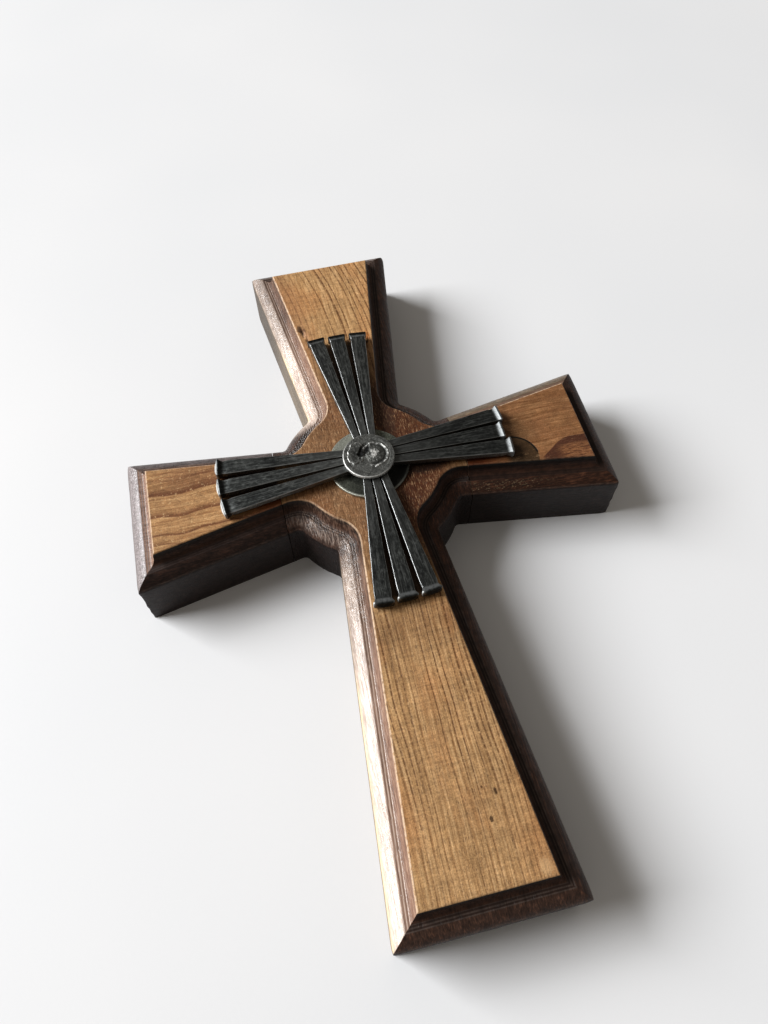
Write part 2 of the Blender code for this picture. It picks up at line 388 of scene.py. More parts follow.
class Side:
    """One sawn side of an arm: the line from its neck at the hub out to the arm's end."""

    def __init__(self, quarter, reach, end_width, neck_width, lean, turn):
        direction = quarter * QUARTER
        self.along = np.array([math.cos(direction), math.sin(direction)])
        across = np.array([-self.along[1], self.along[0]])
        end = self.along * reach + across * (turn * end_width / 2 + lean)
        neck = self.along * HUB_RADIUS + across * turn * neck_width / 2
        self.reach = reach
        self.line = (end - neck) / np.linalg.norm(end - neck)
        self.outward = np.array([-self.line[1], self.line[0]]) * turn
        self.offset = neck @ self.outward
        centre_out = self.offset + INNER_CORNER_RADIUS
        centre_along = math.sqrt((HUB_RADIUS + INNER_CORNER_RADIUS) ** 2 - centre_out**2)
        self.corner_centre = self.line * centre_along + self.outward * centre_out

    def at(self, distance, inset):
        """Where the line, moved in by each inset, crosses the square line at each distance."""
        out = self.outward * (self.offset - inset)[:, None]
        t = (distance - out @ self.along) / (self.line @ self.along)
        return out + self.line * t[:, None]

    def corner_angles(self):
        """Angles, seen from the arc's centre, of the touch on the line and of that on the hub."""
        to_line = math.atan2(-self.outward[1], -self.outward[0])
        to_hub = math.atan2(-self.corner_centre[1], -self.corner_centre[0])
        return to_line, to_line + math.remainder(to_hub - to_line, math.tau)

    def touch(self, inset):
        """Where each inset line runs into the inner corner's arc."""
        return self.corner_centre - self.outward * (INNER_CORNER_RADIUS + inset)[:, None]


def arm_sides():
    """The sides of each arm, clockwise one first, by the arm's name."""
    arms = {
        "right": (0, RIGHT_REACH, SIDE_END_WIDTH, SIDE_NECK_WIDTH, RIGHT_END_LEAN),
        "top": (1, TOP_REACH, TOP_END_WIDTH, UPRIGHT_NECK_WIDTH, TOP_END_LEAN),
        "left": (2, LEFT_REACH, SIDE_END_WIDTH, SIDE_NECK_WIDTH, LEFT_END_LEAN),
        "bottom": (3, BOTTOM_REACH, BOTTOM_END_WIDTH, UPRIGHT_NECK_WIDTH, 0.0),
    }
    return {name: (Side(*arm, -1), Side(*arm, 1)) for name, arm in arms.items()}


def straight(start, end, spacing, ease=0.6):
    """Rows of points from start to just before end, closer together near both ends."""
    length = np.linalg.norm(end[0] - start[0])
    count = max(3, int(length / spacing))
    t = np.arange(count) / count
    t = t - ease * np.sin(2 * np.pi * t) / (2 * np.pi)
    return start[:, None] + (end - start)[:, None] * t[None, :, None]


def arc(centre, radius, start, end, spacing):
    """Rows of points on arcs of each radius, from one angle to just before the other."""
    count = max(6, int(abs(end - start) * radius.max() / spacing))
    angle = start + (end - start) * np.arange(count) / count
    turned = np.stack([np.cos(angle), np.sin(angle)], axis=-1)
    return centre + radius[:, None, None] * turned[None]


def hub_quarter(leaving, arriving, inset, spacing):
    """Two inner corners and the hub's round between them, from one arm's side to the next arm's."""
    out_start, out_end = leaving.corner_angles()
    in_start, in_end = arriving.corner_angles()
    hub_start = math.atan2(leaving.corner_centre[1], leaving.corner_centre[0])
    hub_end = math.atan2(arriving.corner_centre[1], arriving.corner_centre[0])
    hub_end = hub_start + math.remainder(hub_end - hub_start, math.tau)
    small = INNER_CORNER_RADIUS + inset
    return [
        arc(leaving.corner_centre, small, out_start, out_end, spacing),
        arc(np.zeros(2), HUB_RADIUS - inset, hub_start, hub_end, spacing),
        arc(arriving.corner_centre, small, in_end, in_start, spacing),
    ]


def arm_end(low, high, inset, spacing):
    """Out along one side of an arm, across its end, and the start of the way back."""
    reach = low.reach - inset
    near, far = low.at(reach, inset), high.at(reach, inset)
    return [
        straight(low.touch(inset), near, spacing),
        straight(near, far, spacing),
        straight(far, high.touch(inset), spacing),
    ]


def upright_outline(inset, spacing):
    """The upright board's outline at each inset: both long arms, the hub, and the two seams."""
    sides = arm_sides()
    pieces = []
    names = ("right", "top", "left", "bottom")
    for name, following in zip(names, names[1:] + names[:1]):
        low, high = sides[name]
        if name in ("top", "bottom"):
            pieces += arm_end(low, high, inset, spacing)
        else:
            seam = np.full(len(inset), UPRIGHT_HALF)
            near, far = low.at(seam, inset), high.at(seam, inset)
            pieces.append(straight(low.touch(inset), near, spacing))
            pieces.append(straight(near, far, 2 * spacing))
            pieces.append(straight(far, high.touch(inset), spacing))
        pieces += hub_quarter(high, sides[following][0], inset, spacing)
    return np.concatenate(pieces, axis=1)


def arm_outline(name, inset, spacing):
    """A side arm's outline at each inset: the seam, both sides and the end."""
    low, high = arm_sides()[name]
    seam = np.full(len(inset), ARM_START)
    reach = low.reach - inset
    corners = [low.at(seam, inset), low.at(reach, inset), high.at(reach, inset), high.at(seam, inset)]
    following = corners[1:] + corners[:1]
    return np.concatenate([straight(a, b, spacing) for a, b in zip(corners, following)], axis=1)


def routed_edge():
    """The edge's profile from the wall's foot up to the field, as insets and heights.

    The wall, the round, two thin quirks side by side, the hollow quarter of an ellipse
    of the cove, and a steep lip whose top is rounded by a worn radius. The round is a quarter
    of an ellipse mixed with a straight slant, so that it still rises where it meets the quirks.
    """
    wall = np.array([[FOOT_BEVEL, 0.0], [FOOT_BEVEL / 3, FOOT_BEVEL / 3], [0.0, FOOT_BEVEL]])
    heights = np.linspace(FOOT_BEVEL, WALL_HEIGHT, 9)[1:-1]
    rise = np.stack([np.zeros_like(heights), heights], axis=-1)
    angle = np.linspace(0, QUARTER, 18)
    run = 1 - np.cos(angle)
    climb = (1 - ROUND_SLANT) * np.sin(angle) + ROUND_SLANT * run
    bulge = np.stack([ROUND_WIDTH * run, WALL_HEIGHT + ROUND_RISE * climb], axis=-1)
    shoulder = WALL_HEIGHT + ROUND_RISE
    turns = np.arange(1, 2 * QUIRK_COUNT)
    quirk_insets = ROUND_WIDTH + turns * QUIRK_WIDTH / 2
    quirks = np.stack([quirk_insets, shoulder - QUIRK_DEPTH * (turns % 2)], axis=-1)
    angle = np.linspace(0, QUARTER, 10)
    start = ROUND_WIDTH + QUIRK_COUNT * QUIRK_WIDTH
    cove_insets = start + COVE_WIDTH * np.sin(angle)
    hollow = np.stack([cove_insets, shoulder + COVE_RISE * (1 - np.cos(angle))], axis=-1)
    turn = np.linspace(0, QUARTER, 6)
    lip_insets = FIELD_INSET + ARRIS_RADIUS * (1 - np.cos(turn))
    arris = np.stack([lip_insets, BOARD_THICKNESS - ARRIS_RADIUS * (1 - np.sin(turn))], axis=-1)
    return np.concatenate([wall, rise, bulge, quirks, hollow, arris])


def window_side(rings):
    """How squarely each point faces the window, from -1 to 1, by its ring's direction there."""
    ahead = np.roll(rings[..., :2], -1, axis=1) - np.roll(rings[..., :2], 1, axis=1)
    outward = np.stack([ahead[..., 1], -ahead[..., 0]], axis=-1)
    outward /= np.linalg.norm(outward, axis=-1, keepdims=True) + 1e-9
    return outward @ WINDOW_DIRECTION


# Where the boards have dents and chips: place, half length along the grain, half width, depth
UPRIGHT_DENTS = (
    (-16.0, 87.5, 3.4, 0.9, 0.55),
    (-14.4, 82.2, 2.6, 0.8, 0.5),
    (-12.6, 86.5, 1.6, 0.5, 0.3),
    (15.8, 75.6, 1.6, 1.0, 0.5),
    (12.6, -156.1, 1.3, 0.5, 0.4),
    (8.2, -165.2, 1.0, 0.7, 0.4),
    (8.8, -153.0, 0.7, 0.4, 0.2),
)


def worn(rings, insets, corners, seed, dents):
    """The board's rings with its wear.

    Each end corner is pulled in along its bisector by a share that falls off as the
    square of the distance; the walls take shallow saw waves; the field takes slow
    waves and its dents, each a bell that is longer along the grain.
    """
    flat = rings[..., :2]
    for corner, inward in corners:
        away = np.linalg.norm(flat - corner, axis=-1)
        rough = 1 + 0.5 * smooth_noise(rings, 2.2 * MM, seed)
        pull = CORNER_WEAR * rough * np.clip(1 - away / (CORNER_WEAR_REACH * 1.6), 0, 1) ** 2
        rings[..., :2] += inward * pull[..., None]
    on_field = (insets >= FIELD_INSET)[:, None]
    inward = -flat
    inward /= np.linalg.norm(inward, axis=-1, keepdims=True) + 1e-9
    waves = SAW_WAVES * (0.5 + 0.5 * smooth_noise(rings, 3.5 * MM, seed + 1))
    off_seam = (np.abs(np.abs(rings[..., 0]) - HUB_RADIUS) > 0.5 * MM) & ~on_field
    rings[..., :2] += inward * (waves * off_seam)[..., None]
    low = -FIELD_WAVES * (0.5 + 0.5 * smooth_noise(rings, 14 * MM, seed + 2))
    rings[..., 2] += np.where(on_field, low, 0.0)
    for x, y, half_length, half_width, depth in dents:
        gap = (rings[..., :2] / MM - (x, y)) / (half_width, half_length)
        bell = np.exp(-(gap**2).sum(axis=-1))
        rings[..., 2] -= np.where(on_field, depth * MM * bell, 0.0)
    return rings


def board(name, outline, middle, corners, seed, dents=(), spacing=1.0 * MM, rows=46):
    """A board as one closed skin: back, routed edge and field, all from its inset outlines."""
    profile = routed_edge()
    edge = outline(profile[:, 0], spacing)
    heights = np.broadcast_to(profile[:, 1][:, None], edge.shape[:2])
    edge = np.concatenate([edge, heights[..., None]], axis=-1)
    inner = np.array([middle[0], middle[1], 0.0])
    back = [inner + (edge[0] - inner) * share for share in (0.02, 0.35, 0.7, 0.97)]
    shares = 1 - (np.arange(1, rows) / rows) ** 1.15
    top = inner + UP * BOARD_THICKNESS
    field = [top + (edge[-1] - top) * share for share in shares]
    rings = np.concatenate([np.stack(back), edge, np.stack(field)])
    insets = np.concatenate([np.zeros(len(back)), profile[:, 0], np.full(len(field), FAR_INSIDE)])
    rings = worn(rings, insets, corners, seed, dents)
    place = np.broadcast_to(insets[:, None], rings.shape[:2])
    return skin(name, rings, {"inset": place / MM, "window_side": window_side(rings)})


def end_corners(names):
    """The outer corners of these arms with the way in along each one's bisector."""
    found = []
    sides = arm_sides()
    none = np.zeros(1)
    for name in names:
        for side in sides[name]:
            corner = side.at(side.reach, none)[0]
            inward = -side.along - side.outward
            found.append((corner, inward / np.linalg.norm(inward)))
    return found


def make_boards():
    upright = board(
        "routed_upright", upright_outline, (0.0, 0.0), end_corners(("top", "bottom")), 11, UPRIGHT_DENTS
    )
    dress(upright, "upright_board", upright_wood("upright_wood"))
    middle = (ARM_START + RIGHT_REACH - FIELD_INSET) / 2
    for name, sign, seed, wood in (("left", -1, 23, left_arm_wood), ("right", 1, 37, right_arm_wood)):
        arm = board(
            f"routed_{name}_arm",
            lambda inset, spacing, name=name: arm_outline(name, inset, spacing),
            (sign * middle, 0.0),
            end_corners((name,)),
            seed,
            spacing=0.7 * MM,
            rows=40,
        )
        dress(arm, f"{name}_arm", wood(f"{name}_arm_wood"))


# Wood

FIELD_HEIGHT = BOARD_THICKNESS / MM
# Where the quirks and the cove start, as insets in millimetres
QUIRK_START = ROUND_WIDTH / MM
COVE_START = (ROUND_WIDTH + QUIRK_COUNT * QUIRK_WIDTH) / MM
# Painted shade and dirt between the nails: half its width at the hub in millimetres, and what that gains for
# each one outwards
FAN_START = 3.0
FAN_SPREAD = 0.172
# Reddish tint of both side arms near the hub
NEAR_HUB_TINT = (170, 132, 114)
# Round dark patch on the right arm, in millimetres
PATCH_PLACE = (66.5, -14.5)
PATCH_RADIUS = 12.0
# Red-brown bands of the left arm: height of the sharp lower line, soft width above it, strength
LEFT_BANDS = ((5.4, 5.2, 0.95), (-6.4, 3.8, 0.9), (-16.0, 1.7, 0.9), (13.2, 2.6, 0.45), (-20.8, 1.3, 0.6))
# Where the upright has knots, scratches and tints, and the last two painted shadows of the nails: place,
# half length, half width, strength, colour
UPRIGHT_SPOTS = (
    (12.6, -156.0, 1.5, 0.55, 0.85, (46, 26, 14)),
    (8.2, -165.2, 1.2, 0.7, 0.85, (46, 26, 14)),
    (7.9, -153.4, 0.7, 0.4, 0.8, (60, 34, 18)),
    (-17.4, 91.0, 2.6, 1.3, 0.8, (48, 26, 18)),
    (-16.0, 89.6, 1.6, 1.8, 0.7, (62, 34, 22)),
    (-15.4, 86.8, 2.4, 0.6, 0.75, (206, 160, 124)),
    (-13.6, 86.4, 1.8, 0.4, 0.6, (190, 140, 104)),
    (16.4, 78.5, 3.2, 1.3, 0.6, (196, 122, 62)),
    (15.2, 74.2, 1.1, 0.7, 0.85, (40, 22, 14)),
    (27.5, -160.0, 6.0, 0.8, 0.5, (214, 168, 120)),
    (22.5, -185.0, 3.0, 2.2, 0.4, (206, 170, 126)),
    # Painted shadows: of the top fan on the wood to its right, and under the right fan
    (13.5, 28.0, 17.0, 4.5, 0.55, (48, 34, 27)),
    (25.0, -7.5, 4.6, 13.0, 0.85, (22, 15, 11)),
)


def grain_lines(finish, across, along, spacing, width):
    """Dark lines of late wood along the grain, each of its own strength and broken into dashes.

    A line is a narrow bell round each whole number of the distance over the spacing.
    """
    jitter = finish.noise(finish.join(across, 3.7, 0.0), 0.45, detail=1.0)
    ring = (across + (jitter - 0.5) * 1.6) / spacing
    index = finish.math("ROUND", ring)
    strength = finish.chance(index).step(0.0, 0.8, 0.35, 1.0)
    dashes = finish.noise(finish.join(index * 7.3, along * 0.7, 0.0), 1.0)
    return abs(ring - index).step(0.0, width, 1.0, 0.0) * strength * dashes.step(0.32, 0.54, 0.25, 1.0)


def pores(finish, across, along, number):
    """Short dark dashes along the grain where stretched cells have their middles."""
    cell = finish.cells(finish.join(across * 1.5, along * 0.32, number))
    patch = finish.noise(finish.join(across, along, number), 0.22, detail=2.0)
    return cell.step(0.10, 0.26, 1.0, 0.0) * patch.step(0.42, 0.6)


def weather(finish, colour, place):
    """Fine mottling on any wood: speckles of light and dark, and slow clouds."""
    speckle = finish.noise(place, 1.5, detail=4.0, roughness=0.8).step(0.22, 0.78, 0.58, 1.36)
    slow = finish.noise(place, 0.09).step(0.3, 0.7, 0.90, 1.08)
    patchy = finish.noise(place, 0.4).step(0.3, 0.7, 0.88, 1.12)
    return finish.shade(colour, speckle * slow * patchy)


def quirk_wood(finish, inset, both, fine, painted_light_and_wear, middle):
    """Thin dark stripes in the quirks and paler ridges between them, the ridges mostly where light is
    painted: a cosine of the inset.
    """
    turns = (inset - QUIRK_START) * (math.tau * MM / QUIRK_WIDTH)
    ridge = finish.math("COSINE", turns).step(-0.4, 0.8)
    ridge = ridge * (painted_light_and_wear * 0.75 + 0.04) * fine.step(0.3, 0.6, 0.5, 1.0)
    hollow = finish.ramp(both, (0.34, (84, 58, 46)), (0.6, (160, 130, 112)))
    return finish.mix(ridge, finish.mix(painted_light_and_wear, (34, 21, 16), hollow), middle)


def routed_wood(finish, streak, fine, painted_light_and_wear, paler, darkening):
    """Colour of the walls and the moulding: a dark stain, painted darker as shade on the side away from the
    window by the darkening given, and the given paler tones, painted light with some wear, on the side
    toward it.
    """
    inset = finish.attribute("inset")
    low, middle, high, outermost = paler
    both = streak * 0.5 + fine * 0.5
    # Shaded and lit copies of the moulding's wood: painted shade away from the window, painted light toward
    # it
    round_dark = finish.ramp(both, (0.34, (22, 12, 8)), (0.52, (50, 29, 19)), (0.70, (102, 64, 44)))
    round_pale = finish.ramp(both, (0.34, low), (0.5, middle), (0.66, high))
    outer_band = inset.step(1.6, 0.2, 0.0, 0.7) * painted_light_and_wear.step(0.7, 0.95)
    pale = finish.mix(outer_band, round_pale, outermost)
    colour = finish.mix(painted_light_and_wear, finish.shade(round_dark, darkening), pale)
    worn_foot = inset.near(0.5, 0.5) * fine.step(0.4, 0.6, 0.05, 0.25)
    colour = finish.mix(worn_foot, colour, finish.mix(painted_light_and_wear, (112, 98, 88), outermost))
    quirks = quirk_wood(finish, inset, both, fine, painted_light_and_wear, middle)
    colour = finish.mix(inset.step(QUIRK_START - 0.4, QUIRK_START + 0.05), colour, quirks)
    cove_pale = finish.ramp(both, (0.34, (84, 58, 46)), (0.5, (138, 106, 88)), (0.68, (190, 160, 138)))
    cove_dark = finish.ramp(both, (0.35, (30, 19, 14)), (0.75, (76, 48, 35)))
    # Near black under the lip: a painted shadow
    cove_dark = finish.mix(inset.step(9.7, 10.4), cove_dark, (6, 4, 3))
    cove = finish.mix(painted_light_and_wear, cove_dark, cove_pale)
    colour = finish.mix(inset.step(COVE_START - 0.2, COVE_START + 0.2), colour, cove)
    # Walls: near black as painted shade, with a little of the lit tones painted toward the window
    wall = finish.ramp(both, (0.34, (12, 8, 7)), (0.52, (29, 20, 18)), (0.70, (58, 43, 38)))
    wall = finish.mix(painted_light_and_wear * 0.22, wall, finish.mix(0.5, round_pale, outermost))
    return finish.mix(inset.step(0.02, 0.5, 1.0, 0.0), colour, wall)


def finish_board(finish, place, streak, fine, field_colour, groove, painted_light_and_wear, paler, darkening=1.0):
    """Joins the field's colour to the routed edge's, with the worn arris between, painted brighter toward
    the window, and adds the gloss.
    """
    inset = finish.attribute("inset")
    facing = finish.attribute("window_side")
    on_field = finish.split(place)[2].step(FIELD_HEIGHT - 0.7, FIELD_HEIGHT - 0.25)
    off_field = 1.0 - on_field
    mottle = finish.noise(place, 0.35, detail=4.0).step(0.3, 0.7, 0.70, 1.30)
    routed = routed_wood(finish, streak, fine, painted_light_and_wear, paler, darkening)
    routed = finish.shade(routed, mottle, 1.0 - painted_light_and_wear)
    colour = finish.mix(on_field, routed, field_colour)
    arris = inset.step(10.4, 10.65) * inset.step(11.1, 160.0, 1.0, 0.0)
    chipped = finish.noise(place, 0.7, detail=4.0).step(0.38, 0.52, 0.2, 0.9)
    # The worn arris is painted brighter toward the window, as painted light
    arris = arris * chipped * facing.step(-0.3, 0.8, 0.12, 1.0) * painted_light_and_wear.step(0.0, 0.5, 0.45, 1.0)
    colour = finish.mix(arris, colour, (202, 174, 146))
    satin = streak.step(0.3, 0.7, 0.44, 0.56)
    gloss = fine.step(0.3, 0.7, 0.42, 0.60)
    rough = on_field * satin + off_field * gloss
    finish.surface(Base_Color=colour, Roughness=rough, Specular_IOR_Level=0.18)
    shiny = facing.step(0.0, 0.85, 0.05, 0.9) * fine.step(0.3, 0.6, 0.5, 1.0)
    shiny = shiny * inset.step(COVE_START - 0.2, COVE_START + 0.4, 1.0, 0.2)
    shiny = shiny * inset.step(0.1, 0.8) * off_field
    finish.surface(Coat_Weight=shiny, Coat_Roughness=0.18)
    in_quirks = inset.step(QUIRK_START - 0.3, QUIRK_START) * inset.step(COVE_START + 0.2, COVE_START - 0.2)
    relief = (streak + fine) * in_quirks.step(0.0, 1.0, 0.6, 0.1) - groove
    grain = finish.bump(relief, 0.00022, 0.7)
    ripple = finish.noise(place, (0.5, 0.5, 0.5), detail=2.0)
    uneven = finish.bump(ripple, 0.0002, 0.5, grain)
    finish.surface(Normal=uneven, Coat_Normal=uneven)
    return finish.material


def fan_shade_and_dirt(finish, colour, across, along, reaches, tone):
    """Painted shade and dirt between the nails of each fan: a wedge from the hub out to just short of its
    heads.

    A fan with a reach below zero runs the other way.
    """
    total = None
    for reach in reaches:
        out = along * math.copysign(1.0, reach)
        share = abs(across) / finish.math("MAXIMUM", out * FAN_SPREAD + FAN_START, 1.0)
        wedge = share.step(0.98, 0.72) * out.step(4.0, 10.0) * out.step(abs(reach), abs(reach) - 5.0)
        total = wedge if total is None else finish.math("MAXIMUM", total, wedge)
    return finish.mix(total * 0.85, colour, tone)


def upright_hub(finish, colour, x, y, z, away):
    """The hub's darker tint, painted darker still on its right as shade from the nails, with fine flecks of
    pale and dark wood along the grain.
    """
    # Darker hub tint, with painted shade from the nails on its right
    tint_and_shade = finish.mix(x.step(-12.0, 14.0), (188, 176, 176), (114, 84, 76))
    colour = finish.mix(away.step(26.0, 62.0, 1.0, 0.0), colour, tint_and_shade, "MULTIPLY")
    hatch = finish.noise(finish.join(x * 2.4, y * 0.28, z), 1.0, 4.0, 0.7)
    pale = hatch.step(0.52, 0.68) * away.step(26.0, 56.0, 0.7, 0.0)
    colour = finish.mix(pale, colour, (196, 158, 118))
    dark = hatch.step(0.46, 0.34) * away.step(26.0, 60.0, 0.75, 0.0)
    return finish.mix(dark, colour, (58, 38, 28))


def upright_spots(finish, colour, place, x, y):
    """Each knot, scratch, tint or painted shadow: an ellipse whose edge is made ragged by noise."""
    ragged = (finish.noise(place, 1.6) - 0.5) * 3.4
    for spot_x, spot_y, long, wide, strength, tone in UPRIGHT_SPOTS:
        off_x = (x - spot_x) / wide
        off_y = (y - spot_y) / long
        off = off_x * off_x + off_y * off_y + ragged
        colour = finish.mix(off.step(0.4, 1.5, strength, 0.0), colour, tone)
    return colour


def upright_light_and_wear(finish, place, x, y, ribs):
    """Where the upright's moulding takes its paler tones, painted light with some wear: toward the window,
    less so round the hub and at the top.
    """
    ends = y.step(26.0, 38.0) + (y.step(-36.0, -58.0, 0.0, 0.6) + y.step(-70.0, -120.0, 0.0, 0.4))
    brown = (y + x * 0.5).step(58.0, 100.0, 1.0, 0.42)
    cloud = finish.noise(place, (0.25, 0.035, 0.25), detail=4.0).step(0.30, 0.58, 0.74, 1.0)
    painted_light_and_wear = finish.attribute("window_side").step(0.2, 0.9, 0.02, 1.0) * ends * brown * cloud
    pale_ribs = ribs.step(0.46, 0.58, 0.12, 0.8) * x.step(-8.0, -16.0) * y.step(-6.0, -20.0)
    pale_ribs = pale_ribs * y.step(-62.0, -48.0) * x.step(-44.0, -30.0, 0.2, 1.0)
    pale_ribs = pale_ribs * finish.attribute("inset").step(0.3, 2.4)
    return finish.math("MAXIMUM", painted_light_and_wear, pale_ribs * 0.42)


def upright_wood(name):
    """Straight fine lines on the lower arm, bold slanting ones on the top arm, and a flecked dark hub."""
    finish = Finish(name)
    place = finish.place()
    x, y, z = finish.split(place)
    sway = finish.noise(place, (0.03, 0.012, 0.03), detail=2.0)
    bent = x + (sway - 0.5) * y.step(20.0, 60.0, 7.0, 3.0)
    streak = finish.noise(finish.join(bent * 1.5, y * 0.05, z * 0.7), 1.0, 5.0, 0.65)
    fine = finish.noise(finish.join(bent * 3.6, y * 0.16, z * 1.4), 1.0, 4.0, 0.65)
    colour = finish.ramp(streak, (0.28, (140, 102, 64)), (0.5, (174, 135, 91)), (0.72, (204, 166, 120)))
    warm = finish.noise(place, (0.06, 0.03, 0.06)).step(0.44, 0.66, 0.0, 0.45)
    colour = finish.mix(warm, colour, (178, 124, 78))

    away = finish.math("SQRT", x * x + y * y * 0.55)
    faint = away.step(30.0, 58.0, 0.2, 1.0) * y.step(-135.0, -170.0, 1.0, 0.6)
    lower = grain_lines(finish, bent, y, 2.3, 0.27) * faint
    above = finish.math("MAXIMUM", y - 74.0, 0.0)
    slant = above * above * 0.0021
    upper = grain_lines(finish, bent + slant, y, 2.9, 0.23) * (x + slant).step(-21.0, -13.0) * 1.05
    on_top = y.step(20.0, 40.0)
    lines = upper * on_top + lower * y.step(20.0, 40.0, 1.0, 0.0)
    holes = pores(finish, bent, y, 1.0)
    colour = finish.mix(finish.math("MINIMUM", lines * 0.9, 1.0), colour, (88, 53, 28))
    colour = finish.mix(holes * 0.65, colour, (88, 54, 30))
    colour = finish.shade(colour, finish.noise(place, (0.12, 1.1, 0.12)).step(0.3, 0.7, 0.90, 1.10))

    red_side = on_top * (x + slant).step(-6.0, -18.0)
    colour = finish.mix(red_side * 0.4, colour, (142, 98, 68))
    colour = upright_hub(finish, colour, x, y, z, away)
    # Darker below the bottom heads
    darkening = y.step(-104.0, -84.0, 0.0, 0.5) * streak.step(0.3, 0.6, 1.0, 0.5) * y.step(-70.0, -84.0)
    colour = finish.mix(darkening, colour, (92, 58, 34))
    colour = fan_shade_and_dirt(finish, colour, x, y, (78.0, -74.0), (30, 19, 13))
    colour = weather(finish, colour, place)
    lift = x.step(0.0, -16.0) * y.step(-90.0, -120.0, 0.0, 0.10)
    colour = finish.shade(colour, y.step(50.0, 80.0, 0.97, 1.10) + lift)
    colour = upright_spots(finish, colour, place, x, y)

    ribs = finish.noise(finish.join(x * 2.0, y * 0.3, z * 0.3), 1.0, 3.0, 0.6)
    # Painted light, with some wear, on the moulding toward the window
    painted_light_and_wear = upright_light_and_wear(finish, place, x, y, ribs)
    off_field = finish.attribute("inset").step(10.0, 9.4)
    groove = lines * 0.5 + (holes * 0.5 + ribs.step(0.62, 0.38) * away.step(66.0, 50.0) * off_field)
    paler = ((150, 124, 110), (212, 190, 174), (246, 232, 218), (232, 206, 160))
    return finish_board(finish, place, streak, fine, colour, groove, painted_light_and_wear, paler)


def arm_streaks(finish, place):
    """Position, sway and streak noise for a board whose grain runs along X."""
    x, y, z = finish.split(place)
    sway = finish.noise(place, (0.03, 0.05, 0.03), detail=2.0)
    bent = y + (sway - 0.5) * 4.0
    streak = finish.noise(finish.join(x * 0.06, bent * 1.3, z * 1.3), 1.0, 5.0, 0.62)
    fine = finish.noise(finish.join(x * 0.2, bent * 3.2, z * 3.2), 1.0, 4.0, 0.65)
    return x, y, z, bent, streak, fine


def left_arm_wood(name):
    """Golden wood with red-brown bands that end in a sharp lower line."""
    finish = Finish(name)
    place = finish.place()
    x, y, z, bent, streak, fine = arm_streaks(finish, place)
    colour = finish.ramp(streak, (0.28, (126, 86, 53)), (0.5, (164, 122, 80)), (0.72, (194, 154, 108)))
    dip = x.near(-90.0, 12.0) * -1.6
    for height, soft, strength in LEFT_BANDS:
        wave = (finish.noise(finish.join(x, height, 0.0), 0.07) - 0.5) * 2.0
        over = y - (wave + height + dip)
        band = over.step(-0.5, 0.1) * over.step(0.1, soft, 1.0, 0.0)
        colour = finish.mix(band * strength, colour, (100, 58, 34))
    shaded = y.step(4.0, 9.0) * x.step(-104.0, -86.0) * streak.step(0.3, 0.6, 1.0, 0.6)
    colour = finish.mix(shaded * 0.7, colour, (106, 64, 42))
    colour = finish.mix(finish.noise(place, 0.8).step(0.62, 0.7) * 0.5, colour, (212, 180, 134))
    colour = fan_shade_and_dirt(finish, colour, y, x, (-71.0,), (26, 17, 12))
    holes = pores(finish, bent, x, 2.0)
    colour = finish.mix(holes * 0.6, colour, (84, 52, 30))
    colour = finish.mix(x.step(-72.0, -50.0), colour, NEAR_HUB_TINT, "MULTIPLY")
    colour = weather(finish, colour, place)
    scratch = finish.noise(finish.join(x * 1.6, y * 0.5, z * 0.4), 1.0, 4.0, 0.7)
    scratch = scratch.step(0.34, 0.48, 0.25, 1.0)
    # Paler tones painted as light on the side toward the window, broken by scratches
    painted_light_and_wear = finish.attribute("window_side").step(-0.1, 0.9, 0.02, 1.0) * scratch
    paler = ((78, 66, 62), (128, 117, 116), (176, 166, 166), (96, 82, 78))
    return finish_board(finish, place, streak, fine, colour, holes * 0.6, painted_light_and_wear, paler, 0.5)


